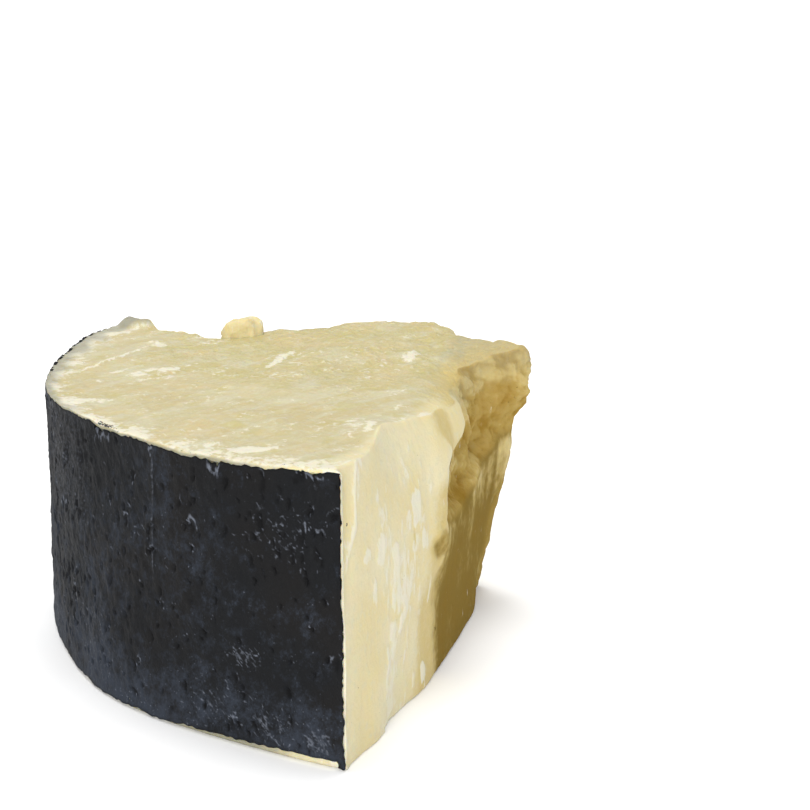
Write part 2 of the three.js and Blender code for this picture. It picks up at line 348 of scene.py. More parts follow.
def rind_point(angle, z, inset=0.0):
    """A point of the wheel's wall: angle in degrees from the front, z its height, set in by inset."""
    foot = 1 - z / SLAB_HEIGHT
    wave = np.cos(2 * np.pi * (angle + WALL_WAVE_TURN) / WALL_WAVE_PITCH) * (1 - 2 * foot)
    r = WHEEL_RADIUS + FOOT_SPREAD * foot + WALL_WAVE * wave - inset
    x = r * np.sin(np.radians(angle)) + FOOT_SHIFT[0] * foot
    y = -r * np.cos(np.radians(angle)) + FOOT_SHIFT[1] * foot
    return x, y


def along_face(start, end, s, relief):
    """A point at distance s along the straight line from start to end, moved outwards by relief."""
    dx, dy = end[0] - start[0], end[1] - start[1]
    length = np.hypot(dx, dy)
    return start[0] + (dx * s + dy * relief) / length, start[1] + (dy * s - dx * relief) / length


def cut_place(x, y):
    """Where a point of the top lies from the straight knife cut: how far along it from the rind, and
    how far inside it."""
    start = rind_point(RIND_RIGHT, SLAB_HEIGHT)
    dx, dy = TIP[0] - start[0], TIP[1] - start[1]
    length = np.hypot(dx, dy)
    return turned(x, y, start, (dx / length, dy / length))


def shoulder(x, y):
    """How far the top slopes down to the knife cut, and the share of that slope a point has gone: a
    parabola that begins SLOPE_REACH inside the edge, deepest beside the broken part."""
    s, inside = cut_place(x, y)
    edge = 0.12 * np.clip(s - 64, 0, 99) + 5 * step(104, 122, s)
    share = np.clip(1 - (inside - edge) / SLOPE_REACH, 0, 1.08) ** 2
    deep = SLOPE_CLEAN * step(18, 66, s) + SLOPE_BROKEN * step(62, 92, s)
    return deep * step(154, 122, s) * share, share


def mound(x, y, at_x, at_y, core, reach, rise):
    """A round rise on the top, full within its core and gone at its reach."""
    return rise * step(reach, core, np.hypot(x - at_x, y - at_y))


def top_height(x, y):
    """The saw's tilted plane with its mounds, and its torn part in long flakes made by hills, less the
    slope down to the knife cut."""
    plane = SLAB_HEIGHT + TOP_RISE_X * x + TOP_RISE_Y * y
    flakes = TORN_FLAKES * hills((y - x / 2) / 46, (x + y / 2) / 13, 0.5, 11)
    torn = mound(x, y, *TORN_TOP) * (1 + flakes / TORN_TOP[-1])
    return plane + torn + sum(mound(x, y, *feature) for feature in MOUNDS) - shoulder(x, y)[0]


def scoop_edge(z):
    """Where the broken scoop begins along the cut: 76 mm from the rind, and 99 mm near the top."""
    return 76 + 23 * step(56, 70, z)


def scoop_floor(s):
    """The height of the scoop's lower end: level, then rising to the tip by a parabola."""
    return SCOOP_FLOOR + SCOOP_FLOOR_RISE * (np.clip(s, 104, 150) - 104) ** 2


def cut_relief(s, z):
    """How far the right side stands out from a straight cut, s from the rind and z up. The features
    are products of smooth steps, and the turn past the bend is a line with a soft start."""
    bevel = -BEVEL_DEPTH * step(10, 1, s) * step(34, 52, z)
    bite = -BITE_DEPTH * hump(45, 30, s) * step(52, 84, z)
    softness = mix(14, 2, step(22, 38, z))
    bend = mix(66, 77, step(22, 40, z))
    turn = -np.tan(np.radians(CUT_TURN)) * softness * np.log1p(np.exp((s - bend) / softness))
    lip = LIP_RISE * hump(76, 13, s) * step(28, 40, z) * step(82, 64, z)
    facet = FACET_RISE * hump(97, 18, s) * step(59, 70, z)
    floor, edge = scoop_floor(s), scoop_edge(z)
    deep = SCOOP_DEPTH - SCOOP_SHELVING * step(64, 80, z)
    scoop = -deep * step(edge, edge + 9, s) * step(152, 138, s) * step(floor, floor + 7, z)
    lean = TIP_BULGE * step(22, 50, z) + TIP_HEAD * step(60, 68, z) - TIP_UNDERCUT * step(22, 8, z)
    foot = -FOOT_HOLLOW * hump(40, 26, s) * step(30, 4, z)
    return bevel + bite + turn + lip + facet + scoop + step(136, 160, s) * lean + foot


def cut_torn(s, z):
    """How torn the right side is, 0 for a clean cut and 1 for a broken face."""
    floor, edge = scoop_floor(s), scoop_edge(z)
    broken = step(edge - 1, edge + 7, s) * step(floor - 2, floor + 4, z)
    knobs = 0.5 * hump(75, 9, s) * hump(45, 18, z)
    return 0.08 + 0.92 * np.maximum(np.maximum(broken, knobs), 0.4 * step(146, 158, s))


def split_relief(s, z):
    """How far the split side stands out from a straight line, s from the rind and z up: hollow by the
    rind, full towards the tip, undercut lower down and rippled by a sine."""
    plan = SPLIT_BULGE * hump(98, 46, s) - SPLIT_HOLLOW * hump(34, 28, s)
    inside = step(0, 40, s) * step(144, 104, s)
    return plan + inside * (SPLIT_RIPPLE * np.sin(z / 9 + s / 20) - SPLIT_UNDERCUT * step(66, 20, z))


def crags(x, y, z, torn):
    """Plan shift of a torn face: two sizes of hills along each axis, as in the solid."""
    def crag(seed):
        large = hills(x / LARGE_CRAG_WIDTH, y / LARGE_CRAG_WIDTH, z / 15, seed)
        small = hills(x / SMALL_CRAG_WIDTH, y / SMALL_CRAG_WIDTH, z / 7, seed + 1)
        return torn * (LARGE_CRAG * large + SMALL_CRAG * small)

    return crag(21), crag(31)


# Finer relief than the solid holds.


def cut_detail(s, z):
    """The knife cut's own finish in millimetres of relief, and how white it is: the ridge drawn up
    beside the rind, the proud flake by the foot, the chalky band beside that, scrapes, thin lifted
    flakes, the lip's rib and knob, and the blade's streaks. Each is a product of smooth steps and
    humps, with its edges moved by hills."""
    ridge_at = mix(4.5, 8.5, step(48, 68, z)) + 9 * step(72, 88, z) + 0.7 * hills(z / 4, 0, 0, 41)
    ridge = hump(0, 1.3 + 1.8 * hump(60, 6, z), s - ridge_at) * step(44, 56, z)
    ridge_face = hump(0, 5, s - ridge_at - 3) * step(58, 74, z)
    by_coat = hump(0, mix(3.5, 7, step(40, 56, z)), s)
    proud_at = PROUD_EDGE + PROUD_LEAN * z + 0.6 * hills(z / 3, 0, 0, 43)
    proud = step(proud_at + 0.5, proud_at - 0.5, s) * step(24, 17, z) * step(12, 24, s)
    left = mix(30.5, 34.6, step(18, 30, z)) + 1.5 * hills(z / 3, 0, 0, 44)
    right = mix(40.5, 57, step(20, 40, z)) + 2.2 * hills(z / 4.5, 0, 0, 45) - 5 * step(5, 1, z)
    band = step(left - 1, left + 1.2, s) * step(right + 2.5, right - 2, s) * step(51, 43, z + 0.2 * (s - 34))
    clots = step(-0.35, 0.35, hills(s / 3.2, z / 5, 0, 46))
    scrapes = step(0.12, 0.42, hills(s / 2.6, z / 6.5, 0, 47) * hump(46, 46, s) * step(86, 60, z))
    lifted = 0.0
    for at_s, at_z, wide, high in CUT_FLAKES:
        flake = spot(s + 0.6 * hills(s / 2, z / 2.5, 0, 48), z, at_s, at_z, 1.25 * wide, 1.2 * high, 0)
        lifted = np.maximum(lifted, step(0.1, 0.5, flake))
    streaks = 0.03 * hills(s / 1.1, z / 26, 0, 49) + 0.06 * hills(s / 4.2, z / 34, 0, 50)
    streaks = streaks + 0.12 * hills(s / 13, z / 17, 0, 51)
    lip = 0.8 * hills(z / 6, s / 9, 0, 56) * hump(76, 12, s) * step(12, 24, z)
    rib = 0.35 * hump(0, 5, s - 70 - 3 * hills(z / 9, 0, 0, 52)) * step(40, 52, z)
    knob = hump(0, 6, np.hypot(s - KNOB[0], (z - KNOB[1]) * 0.8))
    knob = knob - 0.5 * hump(0, 9, np.hypot(s - KNOB_HOLLOW[0], (z - KNOB_HOLLOW[1]) * 1.5))
    relief = 0.6 * ridge + 1.2 * proud + band * (0.25 + 0.2 * clots) + 0.14 * scrapes + 0.25 * lifted
    white = 0.75 * ridge + 0.5 * ridge_face + 0.45 * by_coat + band * (0.36 + 0.24 * clots)
    white = np.clip(white + 0.38 * scrapes + 0.68 * lifted, 0, 1)
    return relief + 1.4 * knob + lip + rib + streaks, white


def scoop_dents(s, z):
    """How deep the scoop's dents are: an oval hump for each, the highest one at every point."""
    return np.maximum.reduce([
        deep * hump(0, reach, np.hypot((s - at_s) * narrow, z - at_z))
        for at_s, at_z, reach, narrow, deep in SCOOP_DENTS
    ])


def cut_painted_shade(s, z):
    """How much the right side's paste is painted as shade, in golden colours: 0.5 is a peach half shade, 1 a
    golden shade, and above that dark. The shade steps up where the cut turns away past its bend, softly at
    the foot and sharply higher up, less on the facet above the lip. Below the scoop it is paler with upright
    lines, and in the scoop it deepens towards the tip. A peach band of half shade before the lip, painted
    shadows in a slit and along the proud flake's edge, and painted shade in the knob's hollow and in the
    scoop's dents join it."""
    edge = mix(70.5, 77, step(26, 42, z)) + 4 * step(40, 52, z)
    edge = edge - 9 * step(62, 74, z) + 1.2 * hills(z / 6, s / 30, 0, 53)
    soft = mix(18, 1.3, step(20, 42, z)) + 6 * step(64, 80, z)
    broken_at = scoop_edge(z) + 4 + 2 * hills(z / 4, 7, 0, 57)
    facet = 0.45 * step(60, 70, z) * step(broken_at + 5, broken_at - 5, s)
    painted_shade = step(edge - soft, edge + soft, s) * (1.02 - facet + 0.12 * hills(s / 12, z / 10, 0, 54))
    in_scoop = step(-2, 2, z - scoop_floor(s))
    lines = 0.1 * hills(s / 2.2, z / 24, 0, 58) * step(80, 90, s)
    painted_shade = painted_shade - (0.29 * step(26, 50, z) + lines) * (1 - in_scoop)
    painted_shade = painted_shade + in_scoop * step(46, 56, z) * step(84, 90, s) * (0.6 * step(98, 132, s) - 0.42)
    painted_shade = painted_shade - 0.3 * step(138, 152, s) * step(64, 76, z)
    peach_at = 67 - 0.6 * np.clip(42 - z, 0, 16) + 3 * hills(z / 5, s / 6, 0, 55)
    peach_half_shade = 0.5 * step(peach_at - 7, peach_at + 7, s) * step(62, 54, z)
    slit_shadow = 0.65 * hump(0, 1.1, s - 52.5) * hump(46.5, 4.5, z)
    proud_edge_shadow = 0.65 * hump(0, 1.1, s - PROUD_EDGE - 0.8 - PROUD_LEAN * z) * step(3, 6, z) * step(20, 14, z)
    knob_shade = 0.95 * step(12, 3, np.hypot(s - KNOB_HOLLOW[0], (z - KNOB_HOLLOW[1] - 0.5) * 1.6))
    return np.maximum(np.maximum(painted_shade, peach_half_shade), slit_shadow + proud_edge_shadow + knob_shade) + 0.4 * scoop_dents(s, z)


def torn_detail(x, y, z):
    """A torn face's crumb in millimetres, and how deep in a crease each point lies: rounded lumps of
    three sizes, shifted about by hills."""
    shift = hills(x / 6, y / 6, z / 6, 61)
    big = lumps(x / 8 + 0.5 * shift, y / 8, z / 6.5 - 0.3 * shift, 62)
    small = lumps(x / 3.6, y / 3.6 + 0.4 * shift, z / 2.4, 66)
    fine = lumps(x / 2 + 0.3 * shift, y / 2, z / 1.5, 70)
    crease = np.clip(1.17 - 0.65 * big - 0.4 * small - 0.3 * fine, 0, 1)
    return 2.0 * (big - 0.72) + 1.2 * (small - 0.72) + 0.55 * (fine - 0.72), crease


def scale_edges(across, along, pitch, seed):
    """Overlapping flakes, 0 to 1: a slow rise across each flake and a quicker fall at its ragged edge."""
    t = across / pitch + 0.9 * hills(across / pitch / 1.7, along / pitch / 2.6, 0, seed)
    saw = t - np.floor(t)
    height = 0.55 + 0.45 * hills(np.floor(t), along / pitch / 3.5, 0.5, seed + 1)
    return height * saw * step(1.0, 0.74, saw)


def top_detail(x, y):
    """The top's finish in millimetres of relief, how white it is and how torn. It is smooth where
    the saw ran clean. Past a ledge it is torn into flakes that run towards the tip, and by the tip it
    has crags, which are lumps of two sizes."""
    across, along = turned(x, y, (0, 0), TOP_GRAIN)
    reach = np.hypot(x + 50, y + 8) + 9 * hills(x / 17, y / 17, 0, 71)
    torn = step(108, 84, reach)
    rough = step(84, 52, reach)
    beyond, run = turned(x, y, *LEDGE)
    beyond = beyond + 1.8 * hills(x / 5, y / 5, 0, 72)
    ledge = step(-0.7, 0.7, beyond) * step(34, 6, beyond) * step(-6, 6, run) * step(72, 56, run)
    off, run = turned(x, y, *FOLD)
    fold = hump(0, 1.6, off + 0.7 * hills(x / 4, y / 4, 0, 73)) * step(-2, 4, run) * step(42, 34, run)
    flakes = (0.5 - 0.05 * rough + 0.1 * torn) * scale_edges(across, along, 13.0, 74)
    flakes = flakes + (0.3 + 0.04 * torn) * scale_edges(across + 3, along, 6.0, 76)
    clumps = lumps(across / 5.5 + 0.4 * hills(x / 5, y / 5, 0, 77), along / 9, 0.5, 78)
    flakes = flakes + (0.36 + 0.05 * rough + 0.2 * torn) * (clumps - 0.7)
    flat = 1 - shoulder(x, y)[1]
    s, inside = cut_place(x, y)
    large, small = lumps(x / 7.5, y / 7.5, 0.5, 88), lumps(x / 3.2, y / 3.2, 0.5, 89)
    crag = step(108, 126, s) * step(52, 30, inside) * (1.6 * (large - 0.7) + 0.7 * (small - 0.7))
    grain = (0.1 + 0.12 * rough) * hills(x / 1.4, y / 1.4, 0, 80) * flat + 0.16 * hills(x / 3, y / 3, 0, 79)
    smear = 0.07 * hills(across / 2.6, along / 17, 0, 81) + 0.35 * hills(x / 13, y / 13, 0, 82)
    ragged = 0.3 * hills(x / 1.9, y / 1.9, 0, 83) + 0.2 * hills(x / 0.9, y / 0.9, 0, 85)
    lifted = 0.0
    for cx, cy, long, wide, turn in TOP_FLAKES:
        flake = spot(x, y, cx, cy, 1.4 * long, 1.6 * wide, turn)
        lifted = np.maximum(lifted, step(0.0, 0.8, flake + ragged * step(0, 0.15, flake)))
    chips = step(0.0, 0.7, hills(across / 3.2, along / 7, 0, 84)) * (1.2 - 0.5 * rough)
    haze = step(-0.2, 0.7, hills(across / 9, along / 16, 0, 87))
    relief = 1.2 * ledge + 0.5 * fold + flakes * (0.4 + 0.6 * flat) + grain + smear + crag
    white = np.clip(0.6 * fold + 0.5 * lifted + 0.2 * chips + 0.12 * haze, 0, 1)
    return relief + 0.18 * lifted + 0.12 * chips, white, torn


def rim_drop(angle):
    """How far the top is rounded down to meet the coating, least at the rind's two ends."""
    return 0.25 + 0.5 * step(-10, 12, angle) * step(42, 34, angle)


def outline(side, share, z, top):
    """A point of the wall, and its looks. Side 0 is the knife cut from the tip to the rind, 1 and 2
    the rind's halves, 3 the split side. Each is its solid form, moved by crags and crumb where it is
    torn, and worn back towards the heart below the top and at its foot. Under the coating it is set
    in by the coating's thickness, and by less at its very top and foot."""
    white, torn, gold_and_shade, fresh, rim, smudge_and_shade = (np.zeros(np.broadcast(share, z).shape) for _ in PASTE_LOOKS)
    under = 0.1 + COAT * step(0.2, 1.2, top - z) * mix(0.4, 1.0, step(1.5, 5, z))
    foot = FOOT_WEAR * rounding(z / FOOT_DEPTH)
    if side in (1, 2):
        ends = (RIND_RIGHT, RIND_MIDDLE, RIND_LEFT)
        angle = mix(ends[side - 1], ends[side], share) + 0 * z
        x, y = rind_point(angle, z, under + foot)
        # Painted shade: the paste under the coating is greyed away from the rind's right end, and paler
        # towards that end.
        white = white + 0.2 + 0.6 * step(42.5, 44, angle)
        return x, y, np.stack([white, torn, gold_and_shade, step(28, 36, angle), rim, step(44, 32, angle)])
    right = rind_point(RIND_RIGHT, z, under + foot)
    length = np.hypot(TIP[0] - right[0], TIP[1] - right[1])
    worn_at_top = rounding((top - z) / EDGE_DEPTH)
    if side == 0:
        s = (1 - share) * length
        torn = cut_torn(s, z)
        fresh = 1 - torn
        detail, white = cut_detail(s, z)
        detail = fresh * detail * step(0, 3, s) * step(0, 12, length - s) - DENT_DEPTH * scoop_dents(s, z)
        x, y = along_face(right, TIP, s, cut_relief(s, z) + detail)
        # Painted shade: near the top of the scoop's wall the golden shade is lighter and greyed, to run on
        # into the top's painted shade.
        by_edge = step(16, 2, top - z) * step(96, 110, s)
        gold_and_shade = cut_painted_shade(s, z) - by_edge * mix(0.5, 0.24, step(142, 154, s))
        smudge_and_shade = 0.42 * by_edge
        white = fresh * white * step(0.8, 0.45, gold_and_shade)
        for at_s, at_z in CUT_SPECKS:
            rim = rim + 6 * hump(0, 1.1, np.hypot(s - at_s, z - at_z))
        slope = SLOPE_WEAR * np.clip(1 - (top - z) / SLOPE_DEPTH, 0, 1) ** 2
        worn = mix(CLEAN_WEAR, EDGE_WEAR, torn) * worn_at_top
        worn = mix(worn, slope + 0.5 * torn * worn, step(40, 80, s) * step(164, 150, s))
    else:
        left = rind_point(RIND_LEFT, z, under + foot)
        tip = along_face(right, TIP, length, cut_relief(length, z))
        s = share * np.hypot(tip[0] - left[0], tip[1] - left[1])
        torn = mix(step(0, 0.08, share), cut_torn(length, z), step(0.92, 1, share))
        x, y = along_face(left, tip, s, -split_relief(s, z))
        gold_and_shade = mix(0.1, cut_painted_shade(length, z), step(0.94, 1, share))
        worn = mix(CLEAN_WEAR, EDGE_WEAR, torn) * worn_at_top
    crag_x, crag_y = crags(x, y, z, torn)
    crumb, crease = torn_detail(x, y, z)
    # Painted shade: the golden colour deepens in the torn face's creases.
    gold_and_shade = gold_and_shade + 1.1 * torn * gold_and_shade * (crease - 0.22)
    push = torn * crumb * mix(0.35, 1.0, step(0, 6, top - z)) - worn - foot * step(0, 4, s)
    out_x, out_y = x - HEART[0], y - HEART[1]
    out = np.hypot(out_x, out_y)
    x, y = x + crag_x + out_x / out * push, y + crag_y + out_y / out * push
    return x, y, np.stack([white, torn, gold_and_shade, fresh, rim, smudge_and_shade])


def top_looks(x, y, white, torn, to_rind, to_cut):
    """The looks of the top. By the rind it is white and fibrous, and its left rim and the spur are smudged
    by the coating, which also specks one place of the rim. Where the top rolls over into the scoop it is
    painted golden and grey as shade, and by the clean cut it looks freshly cut."""
    angle = np.degrees(np.arctan2(x, -y))
    s, inside = cut_place(x, y)
    s = s + 3 * hills(x / 6, y / 6, 0, 94)
    share = shoulder(x, y)[1]
    leftward = step(16, -6, angle)
    band = step(15 + 7 * leftward, 0, to_rind + 4.5 * hills(x / 6, y / 6, 0, 91))
    fibres = step(0.0, 0.5, hills(angle / 1.1, to_rind / 12, 0, 93)) * step(4, -18, angle)
    white = white + band * (0.52 - 0.1 * leftward + 0.2 * hills(x / 2, y / 2, 0, 92) + 0.3 * fibres)
    by_scoop = step(84, 104, s)
    by_tip = step(126, 142, s) * step(52, 30, inside)
    white = white * (1 - 0.8 * by_scoop * step(0, 0.4, share)) + 0.35 * step(1.6, 0, to_rind)
    # Painted shade where the top rolls over into the scoop, less by the tip.
    gold_and_shade = (0.3 * step(0.02, 0.5, share) + 0.3 * step(0.5, 1.1, share)) * (1 - 0.4 * by_tip)
    gold_and_shade = by_scoop * (gold_and_shade + 0.18 * step(14, 0, to_cut))
    fresh = 0.9 * step(0.1, 0.7, share) * (1 - by_scoop)
    greyed = 0.95 * step(14, 2, to_rind + 4 * hills(x / 5, y / 5, 0, 96))
    greyed = greyed + 0.5 * step(1.6, 0.2, to_rind + 0.8 * hills(angle * 2, to_rind, 0, 95))
    smudge_and_shade = greyed * step(12, -2, angle) + 0.9 * mound(x, y, *SPUR) / SPUR[-1]
    # Painted shade: greyer where the top rolls over into the scoop and by the tip.
    smudge_and_shade = smudge_and_shade + 0.35 * by_scoop * step(0, 0.3, share) + 0.2 * by_tip
    specked = hump(31, 10, np.radians(angle) * WHEEL_RADIUS) * step(7, 1, to_rind)
    rim = step(7, 0.5, to_rind) + 4.2 * specked
    return np.stack([np.clip(white, 0, 1), torn, gold_and_shade, fresh, rim, 0.8 * smudge_and_shade])


def grid_faces(index):
    """Quads over a grid of vertex numbers, each going down the rows and across the columns."""
    return np.stack([index[:-1, :-1], index[1:, :-1], index[1:, 1:], index[:-1, 1:]], -1).reshape(-1, 4)


def make_mesh(name, points, faces, looks, material):
    """A smooth-shaded object of these points, given in millimetres round the wheel's axis."""
    mesh = bpy.data.meshes.new(name)
    mesh.from_pydata(((points + AXIS) * MM).tolist(), [], faces)
    for key, values in looks.items():
        layer = mesh.attributes.new(key, "FLOAT", "POINT")
        layer.data.foreach_set("value", np.ascontiguousarray(values, np.float32))
    mesh.polygons.foreach_set("use_smooth", np.ones(len(mesh.polygons), bool))
    mesh.materials.append(material)
    mesh.validate()
    mesh.update()
    piece = bpy.data.objects.new(name, mesh)
    bpy.context.scene.collection.objects.link(piece)
    return piece


def weave(cut, right, left, split):
    """A grid of plan points between four edges: each blends the four edge points in line with it, less
    the same blend of the four corners."""
    u = (np.arange(len(cut)) / (len(cut) - 1))[:, None, None]
    v = (np.arange(len(right)) / (len(right) - 1))[None, :, None]
    plan = (1 - v) * cut[:, None] + v * left[:, None] + (1 - u) * split[None] + u * right[None]
    plan = plan - (1 - u) * (1 - v) * cut[0] - u * (1 - v) * cut[-1]
    return plan - u * v * left[-1] - (1 - u) * v * left[0]


def edge_distances(px, py):
    """How far each point of the woven top lies from the rind's edges and from the cut's, measured
    along the grid's lines."""
    from_split = np.cumsum(np.hypot(np.diff(px, axis=0), np.diff(py, axis=0)), 0)
    from_split = np.vstack([np.zeros(px.shape[1]), from_split])
    from_cut = np.cumsum(np.hypot(np.diff(px, axis=1), np.diff(py, axis=1)), 1)
    from_cut = np.hstack([np.zeros((px.shape[0], 1)), from_cut])
    return np.minimum(from_split[-1] - from_split, from_cut[:, -1:] - from_cut), from_cut


def build_paste(material):
    """The block's own body: a wall of rows round the outline, a top woven between the outline's four
    sides, and a flat foot."""
    n, m, rows = CUT_COLUMNS, SPLIT_COLUMNS, WALL_ROWS
    counts = (n, m, n, m)
    around = 2 * (n + m)
    side_of = np.repeat(np.arange(4), counts)
    share = np.concatenate([np.arange(c) / c for c in counts])

    def wall(z, top):
        x, y, look = np.zeros(z.shape), np.zeros(z.shape), np.zeros((len(PASTE_LOOKS), *z.shape))
        for side in range(4):
            at = side_of == side
            x[:, at], y[:, at], look[:, :, at] = outline(side, share[at], z[:, at], top[at])
        return x, y, look

    flat = np.full(around, SLAB_HEIGHT)
    edge_x, edge_y, _ = wall(flat[None, :], flat)
    edge_x, edge_y = edge_x[0], edge_y[0]
    column = np.arange(around)
    by_rind = np.minimum(step(0, 9, column - n), step(0, 9, 2 * n + m - column))
    top = top_height(edge_x, edge_y) + top_detail(edge_x, edge_y)[0]
    top = top - by_rind * rim_drop(np.degrees(np.arctan2(edge_x, -edge_y)))
    rise = np.linspace(0, 1, rows + 1)[:, None]
    z = top * (rise - 0.5 * np.sin(2 * np.pi * rise) / (2 * np.pi))
    x, y, look = wall(z, top)

    # Rows behind the coating that nothing sees are left out.
    kept = [*range(HIDDEN_STEP), *range(HIDDEN_STEP, rows - HIDDEN_STEP, HIDDEN_STEP)]
    kept += range(rows - HIDDEN_STEP, rows + 1)
    hidden = (column > n) & (column < 2 * n + m)
    used = ~(hidden & ~np.isin(np.arange(rows + 1), kept)[:, None])
    index = np.full(used.shape, -1)
    index[used] = np.arange(used.sum())
    points = np.stack([x, y, z], -1)[used]
    look = look[:, used]

    # The top between the wall's last ring.
    ring = np.stack([x[-1], y[-1]], -1)
    a, b = np.arange(n + 1), np.arange(m + 1)
    number = np.full((n + 1, m + 1), -1)
    number[a, 0] = index[-1, a]
    number[n, b] = index[-1, n + b]
    number[a[::-1], m] = index[-1, n + m + a]
    number[0, b[::-1][:-1]] = index[-1, (2 * n + m + b[:-1]) % around]
    cut, right = ring[a], ring[n + b]
    left, split = ring[n + m + a][::-1], ring[(2 * n + m + b) % around][::-1]
    px, py = np.moveaxis(weave(cut, right, left, split), -1, 0)
    to_rind, to_cut = edge_distances(px, py)
    relief, white, torn = top_detail(px, py)
    rim = rounding(to_rind / 5) * rim_drop(np.degrees(np.arctan2(px, -py)))
    pz = top_height(px, py) + relief - rim
    inner = np.zeros_like(number, bool)
    inner[1:-1, 1:-1] = True
    number[inner] = len(points) + np.arange(inner.sum())
    points = np.vstack([points, np.stack([px, py, pz], -1)[inner]])
    look = np.hstack([look, top_looks(px, py, white, torn, to_rind, to_cut)[:, inner]])

    # Quads where rows are whole, and taller faces behind the coating.
    wrapped = np.hstack([index, index[:, :1]])
    faces = grid_faces(wrapped[:, : n + 1]).tolist()
    faces += grid_faces(wrapped[:, 2 * n + m :]).tolist()
    faces += grid_faces(wrapped[kept, n + 1 : 2 * n + m]).tolist()
    for low, high in zip(kept[:-1], kept[1:]):
        near = index[low : high + 1, n].tolist()
        far = index[low : high + 1, 2 * n + m].tolist()
        faces.append(near + [index[high, n + 1], index[low, n + 1]])
        faces.append(far[::-1] + [index[low, 2 * n + m - 1], index[high, 2 * n + m - 1]])
    faces += grid_faces(number[:, ::-1]).tolist()
    faces.append(index[0].tolist())
    return make_mesh("cheese_paste", points, faces, dict(zip(PASTE_LOOKS, look)), material)


def coat_pits(arc, z):
    """Pits in the coating, as depth, dust and painted shade arrays: each is an oval dent with a low dusty
    rim, painted darker by its depth as shade.
    They are seeded draws, half of them gathered in patches and a few ringed with dust."""
    draw = np.random.default_rng(5)
    depth, dust, pit_shade = (np.zeros(arc.shape) for _ in range(3))
    patches = draw.uniform((-118, 6), (112, 72), (PIT_PATCHES, 2))
    for number in range(PITS):
        ringed = number < RINGED_PITS
        at = draw.uniform((-122, 2), (116, 76))
        if ringed:
            at = draw.normal((98, 62), (13, 9))
        elif number % 2:
            at = patches[draw.integers(PIT_PATCHES)] + draw.normal(0, (9, 9))
        size = draw.uniform(0.4, 1.05) * (1.7 if draw.random() < 0.14 else 1.0)
        tall = draw.uniform(0.9, 2.2)
        tilt = draw.uniform(-0.5, 0.5)
        deep = draw.uniform(0.5, 1.1)
        dusty = draw.uniform(0.4, 0.8) if ringed else 0.9 * draw.random() ** 2
        near = (np.abs(arc - at[0]) < 5 * size) & (np.abs(z - at[1]) < 5 * size * tall)
        v = (z[near] - at[1]) / size / tall
        u = (arc[near] - at[0]) / size - tilt * v
        r = np.hypot(u, v) + 0.35 * hills(u * 1.4 + number, v * 1.4, 0, 101)
        dent = step(1.15, 0.25, r)
        rim = hump(1.35, 0.45, r) * step(-0.2, 0.7, hills(u * 1.3 + number, v * 1.3, 0, 103) + 0.3 * v)
        depth[near] += deep * (0.8 * dent - 0.2 * rim)
        # Painted shade in the pit, by its depth.
        pit_shade[near] = np.maximum(pit_shade[near], dent * deep)
        dust[near] = np.maximum(dust[near], rim * dusty)
    return depth, dust, pit_shade


def coat_scuffs(arc, z):
    """Short dusty strokes where the coating was rubbed, 0 to 1: seeded ovals round a few places, most
    of them leaning one way."""
    draw = np.random.default_rng(9)
    dust = np.zeros(arc.shape)
    for number in range(SCUFF_STROKES):
        round_rind, up, spread, spread_up = SCUFFS[draw.integers(len(SCUFFS))]
        at = draw.normal((round_rind, up), (spread / 2, spread_up / 2))
        long, wide = draw.uniform(0.8, 3.2), draw.uniform(0.2, 0.42)
        turn = draw.normal(-42, 30)
        strong = draw.uniform(0.2, 0.75)
        near = np.hypot(arc - at[0], z - at[1]) < long
        stroke = spot(arc[near], z[near] + 0.3 * hills(arc[near], number, 0, 104), *at, long, wide, turn)
        dust[near] = np.maximum(dust[near], strong * stroke)
    return dust


